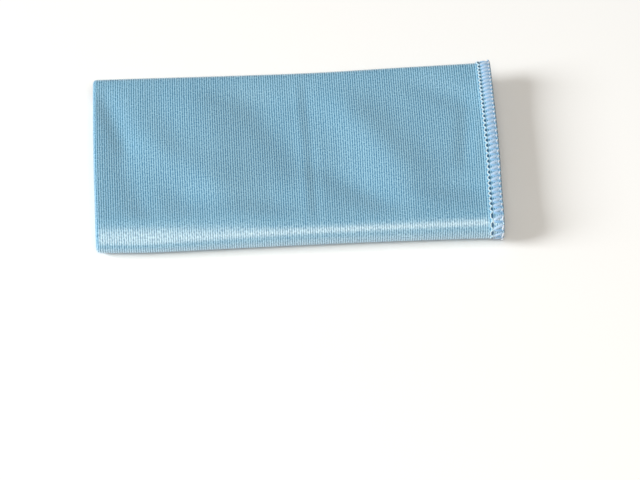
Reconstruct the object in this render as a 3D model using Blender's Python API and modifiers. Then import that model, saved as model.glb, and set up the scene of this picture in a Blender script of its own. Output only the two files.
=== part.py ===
# A microfibre cloth with an overlocked edge, folded in half and then in three.
# Metres, +Z up. The origin is under the middle of the folded cloth, on the surface it lies on.
# +X runs from the end fold to the hemmed end, and -Y is the wide front fold.

import math
from collections import namedtuple

import bmesh
import bpy
from mathutils import Vector

# The cloth as it is cut.
CUT_LENGTH = 0.400
CUT_WIDTH = 0.300
SHEET_THICKNESS = 0.0012
HEM_THICKNESS = 0.0017
HEM_WIDTH = 0.0070
HEM_RISE = 0.0005
HEM_BEVEL = 0.0010

# The cloth folded in half: how far it is through both plies, and how far the inner ply falls short.
DOUBLE_THICKNESS = 0.0039
PLY_SLIP = 0.0011

# The doubled cloth folded in three, before it is drawn out of true.
FOLDED_WIDTH = 0.1055
FOLDED_HEIGHT = 0.0150
LOWER_PANEL = 0.0926
EDGE_CREEP = 0.0024

CLOTH_BLUE = (0.19, 0.42, 0.58, 1.0)
CLOTH_ROUGHNESS = 0.55

# How the folded cloth is drawn out of true along its length: the place of the front and back folds, the
# height of the front fold, of the hollow between the folds and of the back fold, and how wide and how deep
# the slack shoulder behind the front fold is.
Station = namedtuple(
    "Station", "along front back front_height middle_height back_height slack_width slack_drop"
)
STATIONS = (
    Station(-0.100, -0.0522, 0.0522, 0.0142, 0.0128, 0.0140, 0.0125, 0.0036),
    Station(-0.075, -0.0533, 0.0520, 0.0152, 0.0124, 0.0141, 0.0130, 0.0044),
    Station(-0.035, -0.0530, 0.0519, 0.0147, 0.0120, 0.0138, 0.0130, 0.0026),
    Station(0.010, -0.0526, 0.0520, 0.0142, 0.0121, 0.0137, 0.0125, 0.0010),
    Station(0.055, -0.0526, 0.0527, 0.0146, 0.0125, 0.0147, 0.0125, 0.0008),
    Station(0.085, -0.0529, 0.0532, 0.0153, 0.0133, 0.0152, 0.0125, 0.0010),
    Station(0.100, -0.0535, 0.0535, 0.0158, 0.0142, 0.0156, 0.0125, 0.0010),
)

# The share of the half width over which the hollow falls away from each fold, and the share of the slack
# shoulder's width over which it falls.
HOLLOW_SHOULDER = 0.55
SLACK_SHARE = 0.85

# Soft troughs and ridges of the top panel, pressed into the plies under it by less and less. Each runs
# along a line and fades to its sides and past its ends.
Crease = namedtuple("Crease", "from_along from_across to_along to_across half_width rise")
CREASES = (
    Crease(-0.0940, 0.0380, -0.0845, 0.0080, 0.0055, -0.0012),
    Crease(-0.0860, -0.0040, -0.0760, -0.0340, 0.0065, -0.0006),
    Crease(-0.0780, 0.0340, -0.0680, 0.0080, 0.0080, 0.0004),
    Crease(-0.0660, 0.0020, -0.0460, -0.0180, 0.0110, 0.0014),
    Crease(-0.0520, -0.0270, -0.0160, -0.0310, 0.0080, -0.0011),
    Crease(-0.0340, 0.0360, -0.0140, 0.0340, 0.0060, -0.0007),
    Crease(-0.0160, 0.0240, -0.0020, -0.0020, 0.0100, -0.0011),
    Crease(-0.0480, 0.0270, -0.0360, -0.0180, 0.0170, 0.0016),
    Crease(0.0100, 0.0220, 0.0200, -0.0020, 0.0140, -0.0009),
    Crease(0.0190, -0.0160, 0.0390, -0.0310, 0.0080, -0.0012),
    Crease(0.0280, 0.0200, 0.0540, -0.0180, 0.0120, 0.0019),
    Crease(0.0600, 0.0420, 0.0820, 0.0300, 0.0070, -0.0013),
    Crease(0.0840, 0.0140, 0.0820, -0.0080, 0.0045, -0.0007),
    Crease(0.0620, -0.0250, 0.0800, -0.0270, 0.0070, -0.0011),
)

# How slowly a crease fades past its ends, the share of the half width in which the creases fade at the
# folds, and how far from the hemmed end they begin to fade.
PAST_END_SHARE = 0.6
CREASE_FADE = 0.42
HEM_FADE = 0.016

# How far each stretch of the section falls short of the ends of the cloth, as its fold draws it in.
DrawnIn = namedtuple("DrawnIn", "stretch end_fold hemmed_end")
DRAWN_IN = (
    DrawnIn("lower edge", 0.0010, 0.0012),
    DrawnIn("lower panel", 0.0006, 0.0008),
    DrawnIn("front fold", 0.0017, 0.0018),
    DrawnIn("top panel", 0.0004, 0.0000),
    DrawnIn("back fold", 0.0000, 0.0000),
    DrawnIn("inner panel", 0.0016, 0.0014),
    DrawnIn("inner edge", 0.0020, 0.0020),
)

LOWER_PANEL_STEPS = 6
FRONT_FOLD_STEPS = 10
TOP_PANEL_STEPS = 14
BACK_FOLD_STEPS = 6
INNER_PANEL_STEPS = 7
PLY_STEPS = 24
END_FOLD_STEPS = 5

HALF_DOUBLE = DOUBLE_THICKNESS / 2
LOW_LEVEL = HALF_DOUBLE
TOP_LEVEL = FOLDED_HEIGHT - HALF_DOUBLE
MIDDLE_LEVEL = (LOW_LEVEL + TOP_LEVEL) / 2
FRONT_RADIUS = (TOP_LEVEL - LOW_LEVEL) / 2
BACK_RADIUS = (TOP_LEVEL - MIDDLE_LEVEL) / 2
FRONT_CENTRE = -FOLDED_WIDTH / 2 + FRONT_RADIUS + HALF_DOUBLE
BACK_CENTRE = FOLDED_WIDTH / 2 - BACK_RADIUS - HALF_DOUBLE
FRONT_ARC = math.pi * FRONT_RADIUS
BACK_ARC = math.pi * BACK_RADIUS
TOP_PANEL = BACK_CENTRE - FRONT_CENTRE
INNER_PANEL = CUT_WIDTH - LOWER_PANEL - FRONT_ARC - TOP_PANEL - BACK_ARC
END_CENTRE = -CUT_LENGTH / 4 + HALF_DOUBLE

# A point of the doubled cloth's middle line, seen from its end, and the way out from it.
SectionPoint = namedtuple("SectionPoint", "across height out_across out_height")


def section_at(place):
    """The point of the section this far along it, from the lower free edge to the inner one."""
    if place <= LOWER_PANEL:
        return SectionPoint(FRONT_CENTRE + LOWER_PANEL - place, LOW_LEVEL, 0.0, -1.0)
    place -= LOWER_PANEL
    if place <= FRONT_ARC:
        turn = place / FRONT_RADIUS
        return SectionPoint(
            FRONT_CENTRE - FRONT_RADIUS * math.sin(turn),
            LOW_LEVEL + FRONT_RADIUS * (1 - math.cos(turn)),
            -math.sin(turn),
            -math.cos(turn),
        )
    place -= FRONT_ARC
    if place <= TOP_PANEL:
        return SectionPoint(FRONT_CENTRE + place, TOP_LEVEL, 0.0, 1.0)
    place -= TOP_PANEL
    if place <= BACK_ARC:
        turn = place / BACK_RADIUS
        return SectionPoint(
            BACK_CENTRE + BACK_RADIUS * math.sin(turn),
            TOP_LEVEL - BACK_RADIUS * (1 - math.cos(turn)),
            math.sin(turn),
            math.cos(turn),
        )
    place -= BACK_ARC
    return SectionPoint(BACK_CENTRE - place, MIDDLE_LEVEL, 0.0, -1.0)


def spaced(start, end, steps):
    """The places that cut this stretch into equal steps, without its start."""
    return [start + (end - start) * step / steps for step in range(1, steps + 1)]


def hem_places(edge, inward):
    """The four places that shape a hem, from the cut edge at `edge` inwards."""
    offsets = (0.0, HEM_BEVEL, HEM_WIDTH - HEM_BEVEL, HEM_WIDTH)
    return [edge + inward * offset for offset in offsets]


def width_places():
    """The places along the section where the cloth has a row of points."""
    fold_start = LOWER_PANEL
    fold_end = fold_start + FRONT_ARC
    back_start = fold_end + TOP_PANEL
    back_end = back_start + BACK_ARC
    places = hem_places(0.0, 1)
    places += spaced(HEM_WIDTH, fold_start, LOWER_PANEL_STEPS)
    places += spaced(fold_start, fold_end, FRONT_FOLD_STEPS)
    places += spaced(fold_end, back_start, TOP_PANEL_STEPS)
    places += spaced(back_start, back_end, BACK_FOLD_STEPS)
    places += spaced(back_end, CUT_WIDTH - HEM_WIDTH, INNER_PANEL_STEPS)
    places += hem_places(CUT_WIDTH, -1)[-2::-1]
    return places


def length_places():
    """The places along the cut length where the cloth has a row of points, the end fold in the middle."""
    half_arc = math.pi * HALF_DOUBLE / 2
    fold_start = CUT_LENGTH / 2 - half_arc
    fold_end = CUT_LENGTH / 2 + half_arc
    places = hem_places(0.0, 1)
    places += spaced(HEM_WIDTH, fold_start, PLY_STEPS)
    places += spaced(fold_start, fold_end, END_FOLD_STEPS)
    places += spaced(fold_end, CUT_LENGTH - HEM_WIDTH, PLY_STEPS)
    places += hem_places(CUT_LENGTH, -1)[-2::-1]
    return places


def ply_at(place):
    """Where this place of the cut length lies: along the folded cloth, and out from its middle line."""
    half_arc = math.pi * HALF_DOUBLE / 2
    past_fold = place - CUT_LENGTH / 2
    if abs(past_fold) <= half_arc:
        turn = past_fold / HALF_DOUBLE
        return END_CENTRE - HALF_DOUBLE * math.cos(turn), HALF_DOUBLE * math.sin(turn)
    if past_fold > 0:
        return END_CENTRE + past_fold - half_arc, HALF_DOUBLE
    slip = PLY_SLIP * past_fold / (CUT_LENGTH / 2)
    return END_CENTRE - past_fold - half_arc + slip, -HALF_DOUBLE


def smooth(share):
    """Eases 0 to 1."""
    share = min(max(share, 0.0), 1.0)
    return share * share * (3 - 2 * share)


def curve_through(knots, values, place):
    """A smooth curve through the values at the knots, with slopes taken from their neighbours."""
    last = len(knots) - 1
    place = min(max(place, knots[0]), knots[last])
    index = next(i for i in range(last) if place <= knots[i + 1])
    span = knots[index + 1] - knots[index]
    share = (place - knots[index]) / span

    def slope(i):
        before, after = max(i - 1, 0), min(i + 1, last)
        return (values[after] - values[before]) / (knots[after] - knots[before]) * span

    start, end = values[index], values[index + 1]
    squared, cubed = share**2, share**3
    return (
        (2 * cubed - 3 * squared + 1) * start
        + (cubed - 2 * squared + share) * slope(index)
        + (3 * squared - 2 * cubed) * end
        + (cubed - squared) * slope(index + 1)
    )


def station_at(along):
    """The folded cloth's own sizes at this place along it."""
    knots = [station.along for station in STATIONS]
    columns = list(zip(*STATIONS))[1:]
    return Station(along, *(curve_through(knots, column, along) for column in columns))


def hemmed_share(along):
    """Rises from 0 at the end fold to 1 at the hemmed end."""
    return smooth(along / CUT_LENGTH * 2 + 0.5)


def sideways_share(across, station):
    """0 midway between the folds, -1 at the front fold and 1 at the back fold."""
    return (across - (station.back + station.front) / 2) / ((station.back - station.front) / 2)


def height_share(across, station):
    """The height of the whole fold here, as a share of its height before it is drawn out of true."""
    sideways = sideways_share(across, station)
    edge_height = station.front_height if sideways < 0 else station.back_height
    hollow = smooth((1 - abs(sideways)) / HOLLOW_SHOULDER)
    height = edge_height + (station.middle_height - edge_height) * hollow
    return height / FOLDED_HEIGHT


def top_rise(along, across, station):
    """How far the troughs, the ridges and the slack shoulder lift the top panel here."""
    rise = 0.0
    for crease in CREASES:
        line_along = crease.to_along - crease.from_along
        line_across = crease.to_across - crease.from_across
        reach = math.hypot(line_along, line_across)
        from_start = along - crease.from_along
        from_side = across - crease.from_across
        lengthways = (from_start * line_along + from_side * line_across) / reach
        sideways = (from_side * line_along - from_start * line_across) / reach
        past_end = max(0.0, -lengthways, lengthways - reach) * PAST_END_SHARE
        distance = math.hypot(sideways, past_end) / crease.half_width
        rise += crease.rise * math.exp(-(distance**2))
    rise *= smooth((1 - abs(sideways_share(across, station))) / CREASE_FADE)
    rise *= smooth((CUT_LENGTH / 4 - along) / HEM_FADE)
    slack = smooth((1 - (across - station.front) / station.slack_width) / SLACK_SHARE)
    return rise - station.slack_drop * slack


def drawn_in(place, along):
    """How far this part of the section is drawn in from the end of the cloth that it lies near."""
    front_end = LOWER_PANEL + FRONT_ARC
    back_start = front_end + TOP_PANEL
    back_end = back_start + BACK_ARC
    knots = (
        0.0,
        LOWER_PANEL / 2,
        LOWER_PANEL + FRONT_ARC / 2,
        front_end + TOP_PANEL / 2,
        (back_start + back_end) / 2,
        back_end + INNER_PANEL / 2,
        CUT_WIDTH,
    )
    end_fold = curve_through(knots, [row.end_fold for row in DRAWN_IN], place)
    hemmed_end = curve_through(knots, [row.hemmed_end for row in DRAWN_IN], place)
    share = hemmed_share(along)
    return end_fold * (1 - share) - hemmed_end * share


def edge_distance(length_place, width_place):
    """How far a point of the flat cloth is from the nearest cut edge."""
    return min(length_place, CUT_LENGTH - length_place, width_place, CUT_WIDTH - width_place)


def in_hem(length_place, width_place):
    """Whether the cloth has the hem's height here. The end fold squeezes the long hems flat."""
    if abs(length_place - CUT_LENGTH / 2) < DOUBLE_THICKNESS:
        return False
    distance = edge_distance(length_place, width_place)
    return HEM_BEVEL / 2 < distance < HEM_WIDTH - HEM_BEVEL / 2


def folded(length_place, width_place):
    """Where a point of the flat cloth lies once it is folded."""
    along, out = ply_at(length_place)
    point = section_at(width_place)
    rise = HEM_RISE if in_hem(length_place, width_place) else 0.0
    out += math.copysign(rise, out)
    across = point.across + out * point.out_across
    height = point.height + out * point.out_height + rise

    # The plies fan out at the hemmed end, as the outer one goes the longer way round the folds.
    fan = EDGE_CREEP * hemmed_share(along) * -out / HALF_DOUBLE
    if width_place < LOWER_PANEL:
        across += fan * (1 - width_place / LOWER_PANEL)
    if width_place > CUT_WIDTH - INNER_PANEL:
        across -= fan * (1 - (CUT_WIDTH - width_place) / INNER_PANEL)

    station = station_at(along)
    across_share = across / FOLDED_WIDTH + 0.5
    across = station.front + (station.back - station.front) * across_share
    height *= height_share(across, station)
    height += top_rise(along, across, station) * (point.height - LOW_LEVEL) / (TOP_LEVEL - LOW_LEVEL)
    return along + drawn_in(width_place, along), across, height


def cloth_material():
    material = bpy.data.materials.new("blue_microfibre")
    material.use_nodes = True
    shader = material.node_tree.nodes["Principled BSDF"]
    shader.inputs["Base Color"].default_value = CLOTH_BLUE
    shader.inputs["Roughness"].default_value = CLOTH_ROUGHNESS
    shader.inputs["Metallic"].default_value = 0.0
    material.diffuse_color = CLOTH_BLUE
    return material


def flat_cloth():
    """The cut cloth as a flat grid whose rows are as close as the folds need."""
    lengths = length_places()
    widths = width_places()
    mesh = bmesh.new()
    bmesh.ops.create_grid(mesh, x_segments=len(lengths) - 1, y_segments=len(widths) - 1, size=0.5)
    for vertex in mesh.verts:
        column = round((vertex.co.x + 0.5) * (len(lengths) - 1))
        row = round((vertex.co.y + 0.5) * (len(widths) - 1))
        vertex.co = (lengths[column], widths[row], 0.0)
    return mesh


def centre_on_origin(mesh):
    """Moves the cloth sideways, so that the origin is under the middle of its box."""
    lengthways = [vertex.co.x for vertex in mesh.verts]
    crossways = [vertex.co.y for vertex in mesh.verts]
    middle = Vector((min(lengthways) + max(lengthways), min(crossways) + max(crossways), 0.0)) / 2
    bmesh.ops.translate(mesh, verts=mesh.verts, vec=-middle)


def make_cloth(collection):
    mesh = flat_cloth()
    cloth_mesh = bpy.data.meshes.new("cloth")
    hem_points = []
    for index, vertex in enumerate(mesh.verts):
        length_place, width_place = vertex.co.x, vertex.co.y
        if in_hem(length_place, width_place):
            hem_points.append(index)
        vertex.co = folded(length_place, width_place)
    for face in mesh.faces:
        face.smooth = True
    centre_on_origin(mesh)
    mesh.to_mesh(cloth_mesh)
    mesh.free()
    cloth = bpy.data.objects.new("cloth", cloth_mesh)
    collection.objects.link(cloth)
    cloth_mesh.materials.append(cloth_material())

    hem_group = cloth.vertex_groups.new(name="hem")
    hem_group.add(hem_points, 1.0, "REPLACE")
    thickness = cloth.modifiers.new("thickness", "SOLIDIFY")
    thickness.thickness = HEM_THICKNESS
    thickness.offset = -1.0
    thickness.use_even_offset = True
    thickness.vertex_group = hem_group.name
    thickness.thickness_vertex_group = SHEET_THICKNESS / HEM_THICKNESS


def main():
    for old in list(bpy.data.objects):
        bpy.data.objects.remove(old, do_unlink=True)
    collection = bpy.data.collections.new("folded_microfibre_cloth")
    bpy.context.scene.collection.children.link(collection)
    make_cloth(collection)


main()
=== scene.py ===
import math
from collections import namedtuple

import bpy
import numpy as np
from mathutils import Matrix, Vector


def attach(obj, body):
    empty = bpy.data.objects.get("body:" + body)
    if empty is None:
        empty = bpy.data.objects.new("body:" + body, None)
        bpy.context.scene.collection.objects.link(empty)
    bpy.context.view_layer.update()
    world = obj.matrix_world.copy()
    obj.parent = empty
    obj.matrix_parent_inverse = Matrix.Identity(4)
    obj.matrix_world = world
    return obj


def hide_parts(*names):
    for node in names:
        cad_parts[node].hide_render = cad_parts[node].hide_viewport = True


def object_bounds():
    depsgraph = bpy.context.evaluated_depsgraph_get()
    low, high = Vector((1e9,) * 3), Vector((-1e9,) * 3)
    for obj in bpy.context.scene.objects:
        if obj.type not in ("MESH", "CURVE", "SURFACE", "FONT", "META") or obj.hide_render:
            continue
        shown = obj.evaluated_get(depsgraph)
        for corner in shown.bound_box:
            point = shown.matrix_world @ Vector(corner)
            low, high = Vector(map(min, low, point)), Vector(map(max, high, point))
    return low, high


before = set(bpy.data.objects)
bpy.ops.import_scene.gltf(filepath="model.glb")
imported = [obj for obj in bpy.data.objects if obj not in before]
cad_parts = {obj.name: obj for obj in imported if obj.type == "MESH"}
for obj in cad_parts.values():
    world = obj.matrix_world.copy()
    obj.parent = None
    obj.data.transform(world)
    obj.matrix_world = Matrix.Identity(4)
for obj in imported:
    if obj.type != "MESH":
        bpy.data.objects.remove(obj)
cadLow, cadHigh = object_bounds()
print("packed model loaded")


class Socket:
    # an output socket that can be reckoned with like a number

    def __init__(self, tree, output):
        self.tree = tree
        self.output = output

    def __add__(self, other):
        return self.tree.maths("ADD", self, other)

    def __sub__(self, other):
        return self.tree.maths("SUBTRACT", self, other)

    def __rsub__(self, other):
        return self.tree.maths("SUBTRACT", other, self)

    def __mul__(self, other):
        return self.tree.maths("MULTIPLY", self, other)

    def __truediv__(self, other):
        return self.tree.maths("DIVIDE", self, other)

    def __rtruediv__(self, other):
        return self.tree.maths("DIVIDE", other, self)

    def __pow__(self, other):
        return self.tree.maths("POWER", self, other)

    def __rpow__(self, other):
        return self.tree.maths("POWER", other, self)

    __radd__ = __add__
    __rmul__ = __mul__


class Tree:
    # a node tree, and the one way in which nodes are added to it

    def __init__(self, nodeTree):
        self.nodeTree = nodeTree

    def node(self, kind, settings=None, *values, **named):
        made = self.nodeTree.nodes.new(kind)
        for setting, value in (settings or {}).items():
            setattr(made, setting, value)
        for index, value in enumerate(values):
            self.plug(made.inputs[index], value)
        for name, value in named.items():
            self.plug(self.inputNamed(made, name), value)
        return made

    def add(self, kind, settings=None, *values, **named):
        made = self.node(kind, settings, *values, **named)
        return Socket(self, next(output for output in made.outputs if output.enabled))

    def maths(self, operation, *values):
        return self.add("ShaderNodeMath", {"operation": operation}, *values)

    def inputNamed(self, node, name):
        plain = name.replace("_", " ").lower()
        return next(s for s in node.inputs if s.enabled and s.name.lower() == plain)

    def plug(self, target, value):
        if isinstance(value, Socket):
            self.nodeTree.links.new(value.output, target)
        elif value is not None:
            target.default_value = value


def output(tree, node, name):
    return Socket(tree, next(s for s in node.outputs if s.enabled and s.name == name))


def flatNoise(tree, across, along, detail):
    # an even noise about 0 over two numbers
    place = tree.add("ShaderNodeCombineXYZ", None, across, along, 0.0)
    sockets = {"Vector": place, "Scale": 1.0, "Detail": detail, "Roughness": 0.5}
    noise = tree.node("ShaderNodeTexNoise", {"noise_dimensions": "2D"}, **sockets)
    return output(tree, noise, "Fac") - 0.5


def newPiece(name, data):
    piece = bpy.data.objects.new(name, data)
    bpy.context.scene.collection.objects.link(piece)
    return piece


def storeOnPoints(mesh, name, values):
    # keeps a number or a direction on each of a mesh's points
    values = np.asarray(values, np.float32)
    kind, field = ("FLOAT", "value") if values.ndim == 1 else ("FLOAT_VECTOR", "vector")
    mesh.attributes.new(name, kind, "POINT").data.foreach_set(field, values.ravel())


# the folded cloth
cloth = {
    "cutLength": 0.400,
    "cutWidth": 0.300,
    "sheetThickness": 0.0012,
    "doubleThickness": 0.0039,  # through both plies of the halved cloth
    "plySlip": 0.0011,
    "foldedWidth": 0.1055,
    "foldedHeight": 0.0150,
    "lowerPanel": 0.0926,
    "edgeCreep": 0.0024,
    "hollowShoulder": 0.55,
    "slackShare": 0.85,  # how much of the slack shoulder's width falls away
    "pastEndShare": 0.6,  # how much of the way past a crease's end counts towards its fading
    "creaseFade": 0.42,  # the share of the half width in which the creases fade at the folds
    "hemFade": 0.016,  # how far from the hemmed end they begin to fade
    "ribCount": 352,
    "ribDepth": 0.00021,
    "ribPoints": (0.0, 0.32, 0.68),  # in a rib's width: its furrow and the two shoulders of its crest
    "innerSkip": 6,  # the inside of the sheet has one column of points for this many outside
    "rows": {"hem": 6, "lower": 6, "front": 14, "top": 30, "back": 8, "inner": 6},
}

hem = {
    "width": 0.0076,
    "riseOut": 0.00005,
    "riseUp": 0.00050,
    "sheetThickness": 0.0008,
    "easeFrom": 0.0060,
    "easeTo": 0.0076,
    "ribsFrom": 0.0058,  # how far from the cut edge the ribs begin, and over how much they rise
    "ribEase": 0.0010,
    "railInset": 0.0012,  # how far from its corners a thread's rail begins
    "railStep": 0.0005,
    "railDepth": 0.0056,
    "longPitch": 0.0028,  # of the stitches along the long edges
}

# the stitches along the short edges: where on the cut, and how long a stitch is there
StitchRow = namedtuple("StitchRow", "place length")
stitchRows = (
    StitchRow(0.000, 0.0028),
    StitchRow(0.060, 0.0029),
    StitchRow(0.110, 0.0033),
    StitchRow(0.135, 0.0034),
    StitchRow(0.165, 0.0031),
    StitchRow(0.185, 0.0024),
    StitchRow(0.205, 0.0021),
    StitchRow(0.250, 0.0025),
    StitchRow(0.300, 0.0028),
)

Station = namedtuple("Station", "along front back frontHeight middleHeight backHeight slackWidth slackDrop")
stations = (
    Station(-0.100, -0.0522, 0.0522, 0.0142, 0.0128, 0.0140, 0.0125, 0.0036),
    Station(-0.075, -0.0533, 0.0520, 0.0152, 0.0124, 0.0141, 0.0130, 0.0044),
    Station(-0.035, -0.0530, 0.0519, 0.0147, 0.0120, 0.0138, 0.0130, 0.0026),
    Station(0.010, -0.0526, 0.0520, 0.0142, 0.0121, 0.0137, 0.0125, 0.0010),
    Station(0.055, -0.0526, 0.0527, 0.0146, 0.0125, 0.0147, 0.0125, 0.0008),
    Station(0.085, -0.0529, 0.0532, 0.0153, 0.0133, 0.0152, 0.0125, 0.0010),
    Station(0.100, -0.0535, 0.0535, 0.0158, 0.0142, 0.0156, 0.0125, 0.0010),
)

DrawnIn = namedtuple("DrawnIn", "stretch endFold hemmedEnd")
drawnInRows = (
    DrawnIn("lower edge", 0.0010, 0.0012),
    DrawnIn("lower panel", 0.0006, 0.0008),
    DrawnIn("front fold", 0.0017, 0.0018),
    DrawnIn("top panel", 0.0004, 0.0000),
    DrawnIn("back fold", 0.0000, 0.0000),
    DrawnIn("inner panel", 0.0016, 0.0014),
    DrawnIn("inner edge", 0.0020, 0.0020),
)

# soft troughs and ridges of the top panel, in millimetres: each runs along a line and fades to its sides
Crease = namedtuple("Crease", "fromX fromY toX toY halfWidth rise")
creases = (
    Crease(-94, 38, -84.5, 8, 5.5, -1.2),
    Crease(-86, -4, -76, -34, 6.5, -0.6),
    Crease(-78, 34, -68, 8, 8.0, 0.4),
    Crease(-66, 2, -46, -18, 11.0, 1.4),
    Crease(-52, -27, -16, -31, 8.0, -1.1),
    Crease(-34, 36, -14, 34, 6.0, -0.7),
    Crease(-16, 24, -2, -2, 10.0, -1.1),
    Crease(-48, 27, -36, -18, 17.0, 1.6),
    Crease(10, 22, 20, -2, 14.0, -0.9),
    Crease(1.5, 40, 4, -42, 3.0, 0.2),
    Crease(5.5, 40, 8, -42, 3.0, -0.2),
    Crease(19, -16, 39, -31, 8.0, -1.2),
    Crease(28, 20, 54, -18, 12.0, 1.9),
    Crease(60, 42, 82, 30, 7.0, -1.3),
    Crease(84, 14, 82, -8, 4.5, -0.7),
    Crease(62, -25, 80, -27, 7.0, -1.1),
)

ribPitch = cloth["cutLength"] / cloth["ribCount"]
halfDouble = cloth["doubleThickness"] / 2
lowLevel = halfDouble
topLevel = cloth["foldedHeight"] - halfDouble
frontRadius = (topLevel - lowLevel) / 2
backRadius = frontRadius / 2
frontCentre = -cloth["foldedWidth"] / 2 + frontRadius + halfDouble
backCentre = cloth["foldedWidth"] / 2 - backRadius - halfDouble
frontArc = math.pi * frontRadius
backArc = math.pi * backRadius
topPanel = backCentre - frontCentre
innerPanel = cloth["cutWidth"] - cloth["lowerPanel"] - frontArc - topPanel - backArc
frontStart = cloth["lowerPanel"]
topStart = frontStart + frontArc
backStart = topStart + topPanel
innerStart = backStart + backArc
endCentre = -cloth["cutLength"] / 4 + halfDouble
endHalfArc = math.pi * halfDouble / 2


def smooth(share):
    share = np.clip(share, 0, 1)
    return share * share * (3 - 2 * share)


def curveThrough(knots, values, place):
    # a smooth curve through the values at the knots
    knots, values = np.array(knots), np.array(values)
    place = np.clip(place, knots[0], knots[-1])
    slopes = np.gradient(values) / np.gradient(knots)
    index = np.clip(np.searchsorted(knots, place) - 1, 0, len(knots) - 2)
    span = knots[index + 1] - knots[index]
    share = (place - knots[index]) / span
    squared, cubed = share**2, share**3
    return (
        (2 * cubed - 3 * squared + 1) * values[index]
        + (cubed - 2 * squared + share) * slopes[index] * span
        + (3 * squared - 2 * cubed) * values[index + 1]
        + (cubed - squared) * slopes[index + 1] * span
    )


def toCutEdge(lengthPlace, widthPlace):
    # how far it is from here to the nearest cut edge
    toShort = np.minimum(lengthPlace, cloth["cutLength"] - lengthPlace)
    toLong = np.minimum(widthPlace, cloth["cutWidth"] - widthPlace)
    return np.minimum(toShort, toLong)


def hemShareAt(lengthPlace, widthPlace):
    # 1 in the hem, 0 in the plain fabric
    toEdge = toCutEdge(lengthPlace, widthPlace)
    return smooth((hem["easeTo"] - toEdge) / (hem["easeTo"] - hem["easeFrom"]))


def creaseRise(along, across):
    # how far the soft troughs and ridges lift the top panel here
    rise = np.zeros_like(along)
    for crease in creases:
        start = np.array((crease.fromX, crease.fromY)) / 1000
        line = np.array((crease.toX, crease.toY)) / 1000 - start
        reach = np.hypot(*line)
        towards = line / reach
        lengthways = (along - start[0]) * towards[0] + (across - start[1]) * towards[1]
        sideways = (across - start[1]) * towards[0] - (along - start[0]) * towards[1]
        past = np.maximum(0, np.maximum(-lengthways, lengthways - reach))
        distance = np.hypot(sideways, past * cloth["pastEndShare"]) / (crease.halfWidth / 1000)
        rise += crease.rise / 1000 * np.exp(-(distance**2))
    return rise


def foldInHalf(past):
    # from the way past the cut's middle: along the folded cloth, and out from between its two plies
    turn = np.clip(past, -endHalfArc, endHalfArc) / halfDouble
    beyond = np.maximum(np.abs(past) - endHalfArc, 0)
    slip = cloth["plySlip"] * np.minimum(past + endHalfArc, 0) / (cloth["cutLength"] / 2)
    along = endCentre - halfDouble * np.cos(turn) + beyond + slip
    return along, halfDouble * np.sin(turn)


def foldInThree(widthPlace):
    # the section of the doubled cloth: across, its level, and which way is out
    frontTurn = np.clip(widthPlace - frontStart, 0, frontArc) / frontRadius
    backTurn = np.clip(widthPlace - backStart, 0, backArc) / backRadius
    across = frontCentre + frontStart - np.minimum(widthPlace, frontStart)
    across = across - frontRadius * np.sin(frontTurn) + np.clip(widthPlace - topStart, 0, topPanel)
    across = across + backRadius * np.sin(backTurn) - np.maximum(widthPlace - innerStart, 0)
    level = lowLevel + frontRadius * (1 - np.cos(frontTurn)) - backRadius * (1 - np.cos(backTurn))
    return across, level, -np.sin(frontTurn + backTurn), -np.cos(frontTurn + backTurn)


def outOfTrue(along, across, height, level):
    # the real outline and heights, the creases, and the slack behind the front fold
    knots = [station.along for station in stations]
    columns = [curveThrough(knots, column, along) for column in list(zip(*stations))[1:]]
    front, back, frontHeight, middleHeight, backHeight, slackWidth, slackDrop = columns
    across = front + (back - front) * (across / cloth["foldedWidth"] + 0.5)
    sideways = (across - (back + front) / 2) / ((back - front) / 2)
    edgeHeight = np.where(sideways < 0, frontHeight, backHeight)
    hollow = smooth((1 - np.abs(sideways)) / cloth["hollowShoulder"])
    full = edgeHeight + (middleHeight - edgeHeight) * hollow
    height = height * full / cloth["foldedHeight"]
    rise = creaseRise(along, across) * smooth((1 - np.abs(sideways)) / cloth["creaseFade"])
    rise = rise * smooth((cloth["cutLength"] / 4 - along) / cloth["hemFade"])
    rise = rise - slackDrop * smooth((1 - (across - front) / slackWidth) / cloth["slackShare"])
    height = height + rise * (level - lowLevel) / (topLevel - lowLevel)
    return across, height


def drawIn(along, widthPlace, hemmedShare):
    # how far both ends are drawn in at each stretch of the section
    knots = (
        0.0,
        frontStart / 2,
        (frontStart + topStart) / 2,
        (topStart + backStart) / 2,
        (backStart + innerStart) / 2,
        innerStart + innerPanel / 2,
        cloth["cutWidth"],
    )
    atEndFold = curveThrough(knots, [row.endFold for row in drawnInRows], widthPlace)
    atHemmedEnd = curveThrough(knots, [row.hemmedEnd for row in drawnInRows], widthPlace)
    return along + atEndFold * (1 - hemmedShare) - atHemmedEnd * hemmedShare


def foldedPoints(lengthPlace, widthPlace):
    # where points of the flat cloth lie once it is folded
    lengthPlace, widthPlace = np.broadcast_arrays(np.float64(lengthPlace), np.float64(widthPlace))
    past = lengthPlace - cloth["cutLength"] / 2
    along, out = foldInHalf(past)
    across, level, outAcross, outHeight = foldInThree(widthPlace)

    # the hem, flat where the end fold squeezes it
    hemShare = hemShareAt(lengthPlace, widthPlace) * smooth(np.abs(past) / halfDouble - 1)
    out = out + np.sign(out) * hem["riseOut"] * hemShare
    across = across + out * outAcross
    height = level + out * outHeight + hem["riseUp"] * hemShare

    # the plies fan out at the hemmed end
    hemmedShare = smooth(along / cloth["cutLength"] * 2 + 0.5)
    fan = cloth["edgeCreep"] * hemmedShare * -out / halfDouble
    across = across + fan * np.clip(1 - widthPlace / frontStart, 0, 1)
    across = across - fan * np.clip(1 - (cloth["cutWidth"] - widthPlace) / innerPanel, 0, 1)

    across, height = outOfTrue(along, across, height, level)
    along = drawIn(along, widthPlace, hemmedShare)
    return np.stack([along, across, height], axis=-1)


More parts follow.
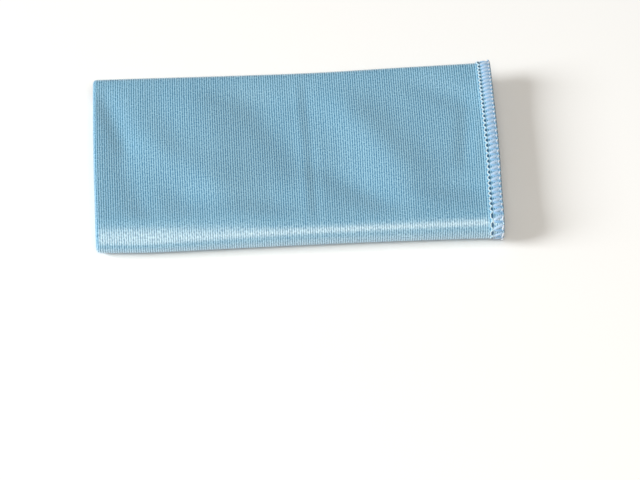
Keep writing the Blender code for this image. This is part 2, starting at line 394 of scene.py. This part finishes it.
def outwardWays(lengthPlace, widthPlace):
    # the sheet's outward direction at these places
    step = 0.0001
    lengthways = foldedPoints(lengthPlace + step, widthPlace) - foldedPoints(lengthPlace - step, widthPlace)
    widthways = foldedPoints(lengthPlace, widthPlace + step) - foldedPoints(lengthPlace, widthPlace - step)
    ways = np.cross(lengthways, widthways)
    return ways / np.linalg.norm(ways, axis=-1, keepdims=True)


def rowPlaces():
    # the places across the cut where the sheet has a row of points
    rows = cloth["rows"]
    hemRows = np.linspace(0, hem["width"], rows["hem"] + 1)
    stretches = (
        (hem["width"], frontStart, rows["lower"]),
        (frontStart, topStart, rows["front"]),
        (topStart, backStart, rows["top"]),
        (backStart, innerStart, rows["back"]),
        (innerStart, cloth["cutWidth"] - hem["width"], rows["inner"]),
    )
    places = list(hemRows)
    for start, end, count in stretches:
        places += list(np.linspace(start, end, count + 1))[1:]
    places += list(cloth["cutWidth"] - hemRows[::-1])[1:]
    return np.array(places)


def columnPlaces():
    # the places along the cut where the sheet has a column of points, three to a rib
    ribStarts = np.arange(cloth["ribCount"])[:, None]
    places = (ribStarts + np.array(cloth["ribPoints"])).ravel()
    return np.append(places, cloth["ribCount"]) * cloth["cutLength"] / cloth["ribCount"]


def stitchesAcross(widthPlace):
    # how many stitches there are from the first corner to this place on a short edge
    sampleCount = 601
    steps = np.linspace(0, cloth["cutWidth"], sampleCount)
    pitch = curveThrough(*zip(*stitchRows), steps)
    count = np.concatenate([[0], np.cumsum((1 / pitch[1:] + 1 / pitch[:-1]) / 2 * np.diff(steps))])
    return np.interp(widthPlace, steps, count)


def sheetMesh():
    # the folded sheet, fine and ribbed outside, coarser inside, and closed round its cut edge
    columns, rows = columnPlaces(), rowPlaces()
    skip = cloth["innerSkip"]
    innerColumns = columns[::skip]
    lengthGrid, widthGrid = np.meshgrid(columns, rows, indexing="ij")
    outer = foldedPoints(lengthGrid, widthGrid)
    innerLength, innerWidth = np.meshgrid(innerColumns, rows, indexing="ij")
    ways = outwardWays(innerLength, innerWidth)
    thinner = cloth["sheetThickness"] - hem["sheetThickness"]
    thickness = cloth["sheetThickness"] - thinner * hemShareAt(innerLength, innerWidth)
    inner = foldedPoints(innerLength, innerWidth) - ways * thickness[..., None]
    points = np.concatenate([outer.reshape(-1, 3), inner.reshape(-1, 3)])
    places = np.concatenate(
        [
            np.stack([lengthGrid, widthGrid], axis=-1).reshape(-1, 2),
            np.stack([innerLength, innerWidth], axis=-1).reshape(-1, 2),
        ]
    )
    rowCount = len(rows)
    outerIndex = np.arange(len(columns) * rowCount).reshape(len(columns), rowCount)
    innerIndex = np.arange(len(innerColumns) * rowCount).reshape(len(innerColumns), rowCount)
    innerIndex = innerIndex + outerIndex.size

    faces = []
    for grid, turned in ((outerIndex, False), (innerIndex, True)):
        corners = [grid[:-1, :-1], grid[:-1, 1:], grid[1:, 1:], grid[1:, :-1]]
        quads = np.stack([corner.ravel() for corner in corners], axis=-1)
        faces += (quads if turned else quads[:, ::-1]).tolist()
    for row in (0, rowCount - 1):
        for step in range(len(innerColumns) - 1):
            fine = outerIndex[step * skip : (step + 1) * skip + 1, row].tolist()
            face = fine + [int(innerIndex[step + 1, row]), int(innerIndex[step, row])]
            faces.append(face[::-1] if row == 0 else face)
    for column, innerColumn in ((0, 0), (len(columns) - 1, len(innerColumns) - 1)):
        for row in range(rowCount - 1):
            face = [
                int(outerIndex[column, row + 1]),
                int(outerIndex[column, row]),
                int(innerIndex[innerColumn, row]),
                int(innerIndex[innerColumn, row + 1]),
            ]
            faces.append(face[::-1] if column == 0 else face)
    return points, places, faces, outerIndex.size


def centreShift(points):
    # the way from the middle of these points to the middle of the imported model
    middle = (points.min(0) + points.max(0)) / 2
    target = (np.array(cadLow) + np.array(cadHigh)) / 2
    return np.array((target[0] - middle[0], target[1] - middle[1], 0.0))


def buildSheet():
    points, places, faces, outerCount = sheetMesh()
    shift = centreShift(points)
    points = points + shift
    mesh = bpy.data.meshes.new("ribbed_sheet")
    mesh.from_pydata(points, [], faces)
    ribbed = smooth((toCutEdge(*places.T) - hem["ribsFrom"]) / hem["ribEase"])
    ribbed[outerCount:] = 0
    storeOnPoints(mesh, "ribbed", ribbed)
    storeOnPoints(mesh, "lengthPlace", places[:, 0])
    storeOnPoints(mesh, "stitches", stitchesAcross(places[:, 1]))
    addMaps(mesh, places, faces, outerCount)
    return newPiece("folded_cloth", mesh), shift


def addMaps(mesh, places, faces, outerCount):
    # a map of the flat cloth, and one for the bake on which the inside lies above the outside
    corner = np.zeros(len(mesh.loops), np.int32)
    mesh.loops.foreach_get("vertex_index", corner)
    placeMap = mesh.uv_layers.new(name="clothPlaces")
    placeMap.uv.foreach_set("vector", places[corner].astype(np.float32).ravel())
    cornerFace = np.repeat(np.arange(len(faces)), [len(face) for face in faces])
    facePlaces = places[corner] / (cloth["cutLength"], cloth["cutWidth"])
    insideFace = np.array([face[0] >= outerCount or len(set(face)) != 4 for face in faces])[cornerFace]
    margin, outsideSize, insideSize, insideUp = 0.01, (0.98, 0.74), (0.98, 0.20), (0, 0.77)
    bakePlaces = margin + facePlaces * outsideSize
    bakePlaces[insideFace] = margin + facePlaces[insideFace] * insideSize + insideUp
    mesh.uv_layers.new(name="OFBake").uv.foreach_set("vector", bakePlaces.astype(np.float32).ravel())
    mesh.uv_layers.active = placeMap


def treeWithSockets(name, sockets):
    nodeTree = bpy.data.node_groups.new(name, "GeometryNodeTree")
    for socketName, kind, default in sockets:
        made = nodeTree.interface.new_socket(socketName, in_out="INPUT", socket_type=kind)
        if default is not None:
            made.default_value = default
    nodeTree.interface.new_socket("Geometry", in_out="OUTPUT", socket_type="NodeSocketGeometry")
    tree = Tree(nodeTree)
    inputs = tree.node("NodeGroupInput")
    return tree, {s.name: Socket(tree, s) for s in inputs.outputs if s.name}


def finishTree(tree, geometry, material):
    realized = tree.add("GeometryNodeRealizeInstances", None, geometry)
    finished = tree.add("GeometryNodeSetMaterial", None, Geometry=realized, Material=material)
    tree.node("NodeGroupOutput", None, finished)


def named(tree, name, kind="FLOAT"):
    node = tree.node("GeometryNodeInputNamedAttribute", {"data_type": kind})
    tree.plug(node.inputs["Name"], name)
    return output(tree, node, "Attribute")


def vectorTimes(tree, vector, number):
    return tree.add("ShaderNodeVectorMath", {"operation": "SCALE"}, Vector=vector, Scale=number)


def vectorSum(tree, first, second):
    return tree.add("ShaderNodeVectorMath", {"operation": "ADD"}, first, second)


def ribbingTree():
    # presses rounded ribs into a sheet along its lengthPlace attribute
    tree, given = treeWithSockets(
        "ribbing",
        (
            ("Geometry", "NodeSocketGeometry", None),
            ("Rib Pitch", "NodeSocketFloat", 0.001),
            ("Rib Depth", "NodeSocketFloat", 0.0002),
            ("Material", "NodeSocketMaterial", None),
        ),
    )
    turn = named(tree, "lengthPlace") / given["Rib Pitch"] * math.tau
    furrow = tree.maths("COSINE", turn) * 0.5 + 0.5
    sink = furrow * given["Rib Depth"] * named(tree, "ribbed") * -1
    normal = tree.add("GeometryNodeInputNormal")
    pressed = tree.add(
        "GeometryNodeSetPosition",
        None,
        Geometry=given["Geometry"],
        Offset=vectorTimes(tree, normal, sink),
    )
    rounded = tree.add("GeometryNodeSetShadeSmooth", None, pressed)
    finishTree(tree, rounded, given["Material"])
    return tree.nodeTree


stitching = {
    "needleLine": 0.0056,
    "holeHalfWidth": 0.00058,
    "holeShare": 0.34,  # how much of a stitch's length the needle hole reaches, each way
    "holeFill": 1.2,
    "holeSharpness": 2.0,
    # the needle holes are painted in this dark blue as the shade inside them
    "holeShadeBlue": (0.016, 0.11, 0.24),
    "looperShort": 0.0014,  # how far short of the needle line the loopers turn
    "needleBefore": 0.0003,  # how far the needle thread lies on either side of its line
    "needlePast": 0.0009,
    "purlWrap": 0.0008,  # how far the purl goes round the cut edge, past the sheet's middle
    "looperRadius": 0.00086,
    "looperFlatness": 0.55,
    "needleRadius": 0.00030,
    "purlRadius": 0.00040,
    "slant": 0.0006,
    "returnDrop": 0.00016,  # how far the thread on its way back sinks between its crossings
    "returnSharpness": 1.2,
    "dropSharpness": 5.0,  # how close to its turns the thread sinks at the edge and the needle line
    "pointSpacing": 0.00022,
    "wanderPace": 1.7,  # how fast the unevenness changes from stitch to stitch
    "pitchWander": 0.4,  # how much of it goes to the stitch's place, its reach and its girth
    "reachWander": 0.25,
    "girthWander": 0.8,
}


def overlockTree():
    # lays one thread along a rail as a wave between the cut edge and the needle line
    tree, given = treeWithSockets(
        "overlock",
        (
            ("Geometry", "NodeSocketGeometry", None),
            ("Point Spacing", "NodeSocketFloat", 0.0002),
            ("Shift", "NodeSocketFloat", 0.0),
            ("Near Edge", "NodeSocketFloat", 0.0),
            ("Near Needle", "NodeSocketFloat", 0.007),
            ("Squareness", "NodeSocketFloat", 1.3),
            ("Bias", "NodeSocketFloat", 0.0),
            ("Slant", "NodeSocketFloat", 0.0),
            ("Lift", "NodeSocketFloat", 0.0),
            ("Edge Drop", "NodeSocketFloat", 0.0),
            ("Needle Drop", "NodeSocketFloat", 0.0),
            ("Return Drop", "NodeSocketFloat", 0.0),
            ("Thread Radius", "NodeSocketFloat", 0.0005),
            ("Flatness", "NodeSocketFloat", 1.0),
            ("Unevenness", "NodeSocketFloat", 0.1),
            ("Sides", "NodeSocketInt", 6),
            ("Seed", "NodeSocketFloat", 0.0),
            ("Material", "NodeSocketMaterial", None),
        ),
    )
    rail = tree.add("GeometryNodeMeshToCurve", None, given["Geometry"])
    fine = tree.add(
        "GeometryNodeResampleCurve", {"mode": "LENGTH"}, Curve=rail, Length=given["Point Spacing"]
    )
    stitch = named(tree, "stitch") + given["Shift"]
    uneven = flatNoise(tree, stitch * stitching["wanderPace"], given["Seed"], 2.0) * given["Unevenness"]
    turn = (stitch + uneven * stitching["pitchWander"]) * math.tau
    wave = tree.maths("COSINE", turn)
    outgoing = tree.maths("SINE", turn)
    returning = tree.add("ShaderNodeClamp", None, outgoing * -stitching["returnSharpness"] + 0.5)
    held = tree.add("ShaderNodeClamp", None, (wave + given["Bias"]) * given["Squareness"], -1.0, 1.0)
    towardsNeedle = held * 0.5 + 0.5
    inwards = given["Near Edge"] + (given["Near Needle"] - given["Near Edge"]) * towardsNeedle
    inwards = inwards * (uneven * stitching["reachWander"] + 1)
    atEdge = (1 - towardsNeedle) ** stitching["dropSharpness"]
    atNeedle = towardsNeedle ** stitching["dropSharpness"]
    up = given["Lift"] - given["Edge Drop"] * atEdge - given["Needle Drop"] * atNeedle
    up = up - given["Return Drop"] * returning
    lengthways = (1 - towardsNeedle) * given["Slant"]
    move = vectorTimes(tree, named(tree, "inward", "FLOAT_VECTOR"), inwards)
    move = vectorSum(tree, move, vectorTimes(tree, named(tree, "faceway", "FLOAT_VECTOR"), up))
    tangent = tree.add("GeometryNodeInputTangent")
    move = vectorSum(tree, move, vectorTimes(tree, tangent, lengthways))
    laid = tree.add("GeometryNodeSetPosition", None, Geometry=fine, Offset=move)
    faced = tree.add(
        "GeometryNodeSetCurveNormal",
        {"mode": "FREE"},
        Curve=laid,
        Normal=named(tree, "faceway", "FLOAT_VECTOR"),
    )
    fullness = (uneven * stitching["girthWander"] + 1) * named(tree, "fullness")
    kept = tree.add("GeometryNodeSetCurveRadius", None, Curve=faced, Radius=fullness)
    for name, value in (("reach", towardsNeedle), ("returning", returning)):
        kept = tree.add(
            "GeometryNodeStoreNamedAttribute",
            {"data_type": "FLOAT", "domain": "POINT"},
            Geometry=kept,
            Name=name,
            Value=value,
        )
    ring = tree.add(
        "GeometryNodeCurvePrimitiveCircle",
        {"mode": "RADIUS"},
        Resolution=given["Sides"],
        Radius=given["Thread Radius"],
    )
    squash = tree.add("ShaderNodeCombineXYZ", None, given["Flatness"], 1.0, 1.0)
    ring = tree.add("GeometryNodeTransform", None, Geometry=ring, Scale=squash)
    swept = tree.add("GeometryNodeCurveToMesh", None, Curve=kept, Profile_Curve=ring, Fill_Caps=True)
    rounded = tree.add("GeometryNodeSetShadeSmooth", None, swept)
    finishTree(tree, rounded, given["Material"])
    return tree.nodeTree


def asMesh(piece, nodeTree, values):
    # runs a tree on a piece, and leaves the result as the piece's own plain mesh
    modifier = piece.modifiers.new(nodeTree.name, "NODES")
    modifier.node_group = nodeTree
    for socket in nodeTree.interface.items_tree:
        if socket.item_type == "SOCKET" and socket.in_out == "INPUT" and socket.name in values:
            modifier[socket.identifier] = values[socket.name]
    bpy.context.view_layer.update()
    evaluated = piece.evaluated_get(bpy.context.evaluated_depsgraph_get())
    mesh = bpy.data.meshes.new_from_object(evaluated, depsgraph=bpy.context.evaluated_depsgraph_get())
    piece.modifiers.clear()
    mesh.name = piece.name
    piece.data = mesh
    return piece


fabric = {
    "ribBlue": (0.345, 0.66, 0.85),
    # the furrows' dark blue is painted shade between the ribs, laid over the ribs' real relief and the
    # cloth's own blue
    "shadedFurrowBlue": (0.022, 0.17, 0.33),
    "ribContrast": 1.0,
    "ribToneShare": 0.08,  # how far the ribs differ from each other
    "knitShare": 1.7,  # how strong the knit's speckle is
    "cloudShare": 0.15,  # how strong the broad uneven tone is
    "knitLength": 0.0006,  # the size of a speckle along the cut, and across it
    "knitWidth": 0.00085,
    "cloudsPerMetre": 28.0,
    "coatTop": 0.95,  # the gloss of the fibres on a rib's crest
    "coatFurrow": 0.5,
    "sockets": {
        "Roughness": 0.55,
        "IOR": 1.7,
        "Specular Tint": (1.0, 0.92, 0.75, 1.0),
        "Coat Roughness": 0.46,
        "Coat IOR": 2.8,
        "Sheen Weight": 0.25,
        "Sheen Roughness": 0.4,
        "Sheen Tint": (1.0, 0.95, 0.85, 1.0),
    },
}

thread = {
    "light": (0.54, 0.65, 0.79),
    "dark": (0.30, 0.47, 0.67),
    # the thread is painted in this bluer tone midway between its turns, so its turns show as painted
    # highlights
    "midway": (0.24, 0.47, 0.70),
    # the grooves where the thread sinks on its way back are painted in this blue as their shade
    "hollow": (0.13, 0.34, 0.58),
    "needleLight": (0.74, 0.86, 0.92),
    "needleDark": (0.44, 0.66, 0.78),
    # the purl is painted whiter than the looper threads, as a painted highlight along the rim
    "purlLight": (0.84, 0.80, 0.80),
    "purlDark": (0.62, 0.66, 0.72),
    "turnHighlightShare": 0.25,  # how far the thread takes its midway blue between its turns, which leaves its turns lighter as painted highlights
    "looperGrooveShade": 0.65,  # how far its way back is painted in the hollow's blue, as painted shade in the grooves between the pads
    "purlGrooveShade": 0.75,
    "fuzzPerMetre": 1400.0,
    "fuzzContrast": 1.6,
    "fuzzDrop": 0.3,
    "sockets": {"Roughness": 0.65, "Sheen Weight": 0.35, "Sheen Roughness": 0.5},
}


def newMaterial(name):
    material = bpy.data.materials.new(name)
    material.use_nodes = True
    material.node_tree.nodes.clear()
    tree = Tree(material.node_tree)
    shader = tree.node("ShaderNodeBsdfPrincipled")
    tree.node("ShaderNodeOutputMaterial", None, Socket(tree, shader.outputs["BSDF"]))
    return material, tree, shader


def rgba(colour):
    return (*colour, 1.0)


def fineNoise(tree, perMetre):
    place = output(tree, tree.node("ShaderNodeTexCoord"), "Object")
    noise = tree.node("ShaderNodeTexNoise", None, Vector=place, Scale=perMetre)
    return output(tree, noise, "Fac")


def mixColour(tree, share, first, second):
    node = tree.node("ShaderNodeMix", {"data_type": "RGBA"})
    for index, value in ((0, share), (6, first), (7, second)):
        tree.plug(node.inputs[index], value)
    return Socket(tree, node.outputs[2])


def stored(tree, name):
    # what a piece's points keep under this name
    return output(tree, tree.node("ShaderNodeAttribute", {"attribute_name": name}), "Fac")


def setSockets(shader, values):
    for socketName, value in values.items():
        shader.inputs[socketName].default_value = value


def addBump(tree, shader, height):
    bump = tree.add("ShaderNodeBump", None, Strength=0.5, Distance=0.0002, Height=height)
    tree.plug(shader.inputs["Normal"], bump)


def needleHoles(tree, toEdge, stitch):
    # 1 inside the holes that the needle thread pulls open along the hem, where the fabric is painted dark
    # as the shade inside them
    across = (toEdge - stitching["needleLine"]) / stitching["holeHalfWidth"]
    along = tree.maths("PINGPONG", stitch, 0.5) / stitching["holeShare"]
    inHole = stitching["holeFill"] - across * across - along * along
    return tree.add("ShaderNodeClamp", None, inHole * stitching["holeSharpness"])


def fabricMaterial():
    material, tree, shader = newMaterial("ribbed_microfibre")
    places = tree.node("ShaderNodeUVMap", {"uv_map": "clothPlaces"})
    axes = tree.node("ShaderNodeSeparateXYZ", None, output(tree, places, "UV"))
    lengthPlace, widthPlace = output(tree, axes, "X"), output(tree, axes, "Y")
    rib = lengthPlace / ribPitch
    crest = 0.5 - tree.maths("COSINE", rib * math.tau) * 0.5
    perRib = tree.node("ShaderNodeTexWhiteNoise", {"noise_dimensions": "1D"}, W=tree.maths("FLOOR", rib))
    ribTone = output(tree, perRib, "Value") - 0.5
    knitLength, knitWidth = lengthPlace / fabric["knitLength"], widthPlace / fabric["knitWidth"]
    knitTone = flatNoise(tree, knitLength, knitWidth, 1.0)
    clouds = fabric["cloudsPerMetre"]
    cloudTone = flatNoise(tree, lengthPlace * clouds, widthPlace * clouds, 2.0)
    toShort = tree.maths("MINIMUM", lengthPlace, cloth["cutLength"] - lengthPlace)
    toLong = tree.maths("MINIMUM", widthPlace, cloth["cutWidth"] - widthPlace)
    shortHoles = needleHoles(tree, toShort, stored(tree, "stitches"))
    longHoles = needleHoles(tree, toLong, lengthPlace / hem["longPitch"])
    holes = tree.maths("MAXIMUM", shortHoles, longHoles)
    crestShare = crest * fabric["ribContrast"] + ribTone * fabric["ribToneShare"]
    crestShare = crestShare + knitTone * fabric["knitShare"] + cloudTone * fabric["cloudShare"]
    # painted shade: the furrows are painted darker than the crests, on top of the pressed ribs
    colour = mixColour(tree, crestShare, rgba(fabric["shadedFurrowBlue"]), rgba(fabric["ribBlue"]))
    # painted shade inside the needle holes
    colour = mixColour(tree, holes, colour, rgba(stitching["holeShadeBlue"]))
    tree.plug(shader.inputs["Base Color"], colour)
    gloss = crestShare * (fabric["coatTop"] - fabric["coatFurrow"]) + fabric["coatFurrow"]
    tree.plug(shader.inputs["Coat Weight"], gloss * (1 - holes))
    setSockets(shader, fabric["sockets"])
    addBump(tree, shader, knitTone)
    return material


def threadMaterial(name, light, dark, grooveShadeShare=0.0):
    material, tree, shader = newMaterial(name)
    fuzzTone = fineNoise(tree, thread["fuzzPerMetre"])
    lightShare = fuzzTone * thread["fuzzContrast"] - thread["fuzzDrop"]
    colour = mixColour(tree, lightShare, rgba(dark), rgba(light))
    reach = stored(tree, "reach")
    midway = reach * (1 - reach) * 4.0  # 1 halfway between the thread's turns
    # painted highlight: bluer midway and lighter at the turns, where the thread catches the light
    colour = mixColour(tree, midway * thread["turnHighlightShare"], colour, rgba(thread["midway"]))
    # painted shade: the thread's way back, sunk between its crossings, is painted darker as well
    colour = mixColour(tree, stored(tree, "returning") * grooveShadeShare, colour, rgba(thread["hollow"]))
    tree.plug(shader.inputs["Base Color"], colour)
    setSockets(shader, thread["sockets"])
    addBump(tree, shader, fuzzTone)
    return material


def edgeRail(runLength, alongLength, edgePlace, onInside):
    # one cut edge: its points, the ways in from the edge and out of the face, and its stitches
    places = np.linspace(hem["railInset"], runLength - hem["railInset"], int(runLength / hem["railStep"]))
    edge = np.full_like(places, edgePlace)
    deeper = np.full_like(places, abs(edgePlace - hem["railDepth"]))
    atEdge = (places, edge) if alongLength else (edge, places)
    atDepth = (places, deeper) if alongLength else (deeper, places)
    start, end = foldedPoints(*atEdge), foldedPoints(*atDepth)
    ways = outwardWays(*atDepth)
    inward = end - start
    inward = inward / np.linalg.norm(inward, axis=-1, keepdims=True)
    if onInside:
        start = start - ways * hem["sheetThickness"]
        ways = -ways
    stitches = places / hem["longPitch"] if alongLength else stitchesAcross(places)
    fullness = np.gradient(places) / np.gradient(stitches) / hem["longPitch"]
    return start, inward, ways, stitches, fullness


def railPiece(name, onInside, shift):
    # the four cut edges as rails for a thread
    length, width = cloth["cutLength"], cloth["cutWidth"]
    sides = (length, True, 0.0), (length, True, width), (width, False, 0.0), (width, False, length)
    rails = [edgeRail(*side, onInside) for side in sides]
    edges = []
    first = 0
    for rail in rails:
        last = first + len(rail[0])
        edges += [(point, point + 1) for point in range(first, last - 1)]
        first = last
    points, *kept = [np.concatenate(column) for column in zip(*rails)]
    mesh = bpy.data.meshes.new(name)
    mesh.from_pydata(points + shift, edges, [])
    for attribute, values in zip(("inward", "faceway", "stitch", "fullness"), kept):
        storeOnPoints(mesh, attribute, values)
    return newPiece(name, mesh)


def triangles(piece):
    return sum(len(face.vertices) - 2 for face in piece.data.polygons)


def pressOnTable(piece):
    # nothing reaches below the surface that the cloth lies on
    mesh = piece.data
    points = np.zeros(len(mesh.vertices) * 3, np.float32)
    mesh.vertices.foreach_get("co", points)
    points[2::3] = np.maximum(points[2::3], 0)
    mesh.vertices.foreach_set("co", points)
    mesh.update()


def buildThreads(shift):
    tree = overlockTree()
    looperColours = thread["light"], thread["dark"], thread["looperGrooveShade"]
    # the purl's whitish colours are a painted highlight of the rim
    purlHighlightColours = thread["purlLight"], thread["purlDark"], thread["purlGrooveShade"]
    half = hem["sheetThickness"] / 2
    shared = {"Point Spacing": stitching["pointSpacing"], "Sides": 6}
    looper = {
        "Near Edge": 0.0008,
        "Near Needle": stitching["needleLine"] - stitching["looperShort"],
        "Squareness": 1.35,
        "Bias": 0.0,
        "Slant": stitching["slant"],
        "Lift": 0.0,
        "Edge Drop": half,
        "Needle Drop": 0.0001,
        "Return Drop": stitching["returnDrop"],
        "Thread Radius": stitching["looperRadius"],
        "Flatness": stitching["looperFlatness"],
        "Unevenness": 0.30,
        "Material": threadMaterial("woolly_looper_thread", *looperColours),
        **shared,
    }
    needle = {
        "Near Edge": stitching["needleLine"] - stitching["needleBefore"],
        "Near Needle": stitching["needleLine"] + stitching["needlePast"],
        "Squareness": 1.5,
        "Bias": 0.45,
        "Slant": 0.0,
        "Lift": 0.0001,
        "Edge Drop": 0.0003,
        "Needle Drop": 0.0,
        "Thread Radius": stitching["needleRadius"],
        "Flatness": 0.8,
        "Unevenness": 0.15,
        "Material": threadMaterial("needle_thread", thread["needleLight"], thread["needleDark"]),
        **shared,
    }
    purl = {
        "Near Edge": 0.0003,
        "Near Needle": 0.0010,
        "Squareness": 1.0,
        "Bias": -0.2,
        "Slant": stitching["slant"],
        "Lift": 0.0005,
        "Edge Drop": half + stitching["purlWrap"],
        "Needle Drop": 0.0,
        "Thread Radius": stitching["purlRadius"],
        "Flatness": 0.8,
        "Unevenness": 0.4,
        "Material": threadMaterial("purl_thread_painted_highlight", *purlHighlightColours),
        **shared,
    }
    pieces = []
    for name, onInside, values in (
        ("upper_looper_thread", False, {**looper, "Shift": 0.5, "Seed": 3.1}),
        ("lower_looper_thread", True, {**looper, "Seed": 8.4}),
        ("needle_thread", False, {**needle, "Seed": 5.7}),
        ("edge_purl", False, {**purl, "Shift": 0.5, "Seed": 2.6}),
    ):
        piece = asMesh(railPiece(name, onInside, shift), tree, values)
        pressOnTable(piece)
        pieces.append(piece)
        print(name, "sewn,", triangles(piece), "triangles")
    return pieces


sheet, shift = buildSheet()
ribValues = {"Rib Pitch": ribPitch, "Rib Depth": cloth["ribDepth"], "Material": fabricMaterial()}
asMesh(sheet, ribbingTree(), ribValues)
print("sheet folded and ribbed,", triangles(sheet), "triangles")
threads = buildThreads(shift)


studio = {
    "floorSize": 6.0,
    "floorGrey": 0.90,
    "grainPerMetre": 900.0,
    "grainTone": 0.01,
    "floorSockets": {"Roughness": 0.9, "Specular IOR Level": 0.1},
    "worldStrength": 0.24,
    "keyWatts": 165.0,
    "keyColour": (0.97, 0.99, 1.0),
    "keyGlossy": False,  # the broad side light gives no shine
    "keySize": (1.6, 1.6),
    "keyPlace": (-3.2, -0.25, 1.6),
    "shoulderWatts": 25.0,
    "shoulderColour": (1.0, 0.92, 0.79),
    "shoulderGlossy": True,
    "shoulderSize": (1.44, 0.96),
    "shoulderPlace": (0.12, -1.20, 1.9),
}

view = {
    "elevation": 52.0,  # degrees above the horizon
    "turn": 2.744,  # degrees from +Y towards +X
    "distance": 1.2338,
    "target": (0.00956, -0.04625, 0.0),
    "focalPixels": 2560.0,  # focal length in pixels of the 640-wide picture
    "pictureWidth": 640,
    "sensor": 36.0,
}


def buildFloor():
    bpy.ops.mesh.primitive_plane_add(size=studio["floorSize"])
    floor = bpy.context.object
    floor.name = "pale_floor"
    material, tree, shader = newMaterial("matt_white_paper")
    low, high = studio["floorGrey"] - studio["grainTone"], studio["floorGrey"] + studio["grainTone"]
    tone = mixColour(tree, fineNoise(tree, studio["grainPerMetre"]), rgba((low,) * 3), rgba((high,) * 3))
    tree.plug(shader.inputs["Base Color"], tone)
    setSockets(shader, studio["floorSockets"])
    floor.data.materials.append(material)
    return floor


def areaLight(name, place, size, watts, colour, glossy):
    light = bpy.data.lights.new(name, "AREA")
    light.shape = "RECTANGLE"
    light.size, light.size_y = size
    light.energy = watts
    light.color = colour
    lamp = newPiece(name, light)
    lamp.location = place
    lamp.visible_glossy = glossy
    lamp.rotation_euler = (-Vector(place)).to_track_quat("-Z", "Y").to_euler()


def buildWorld():
    world = bpy.data.worlds.new("white_studio")
    world.use_nodes = True
    background = world.node_tree.nodes["Background"]
    background.inputs["Color"].default_value = (1.0, 1.0, 1.0, 1.0)
    background.inputs["Strength"].default_value = studio["worldStrength"]
    bpy.context.scene.world = world


def buildCamera():
    turn, elevation = math.radians(view["turn"]), math.radians(view["elevation"])
    level = Vector((math.sin(turn), math.cos(turn), 0.0)) * math.cos(elevation)
    forward = level + Vector((0.0, 0.0, -math.sin(elevation)))
    camera = newPiece("camera", bpy.data.cameras.new("camera"))
    camera.data.sensor_width = view["sensor"]
    camera.data.lens = view["focalPixels"] / view["pictureWidth"] * view["sensor"]
    camera.location = Vector(view["target"]) - forward * view["distance"]
    camera.rotation_euler = forward.to_track_quat("-Z", "Y").to_euler()
    bpy.context.scene.camera = camera


floor = buildFloor()
buildWorld()
buildCamera()
for lampName in ("key", "shoulder"):
    settings = [studio[lampName + part] for part in ("Place", "Size", "Watts", "Colour", "Glossy")]
    areaLight(lampName + "_light", *settings)
bpy.context.scene.view_settings.view_transform = "Standard"
print("floor, light and camera ready")

for piece in (sheet, *threads):
    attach(piece, "root")
    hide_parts("cloth")
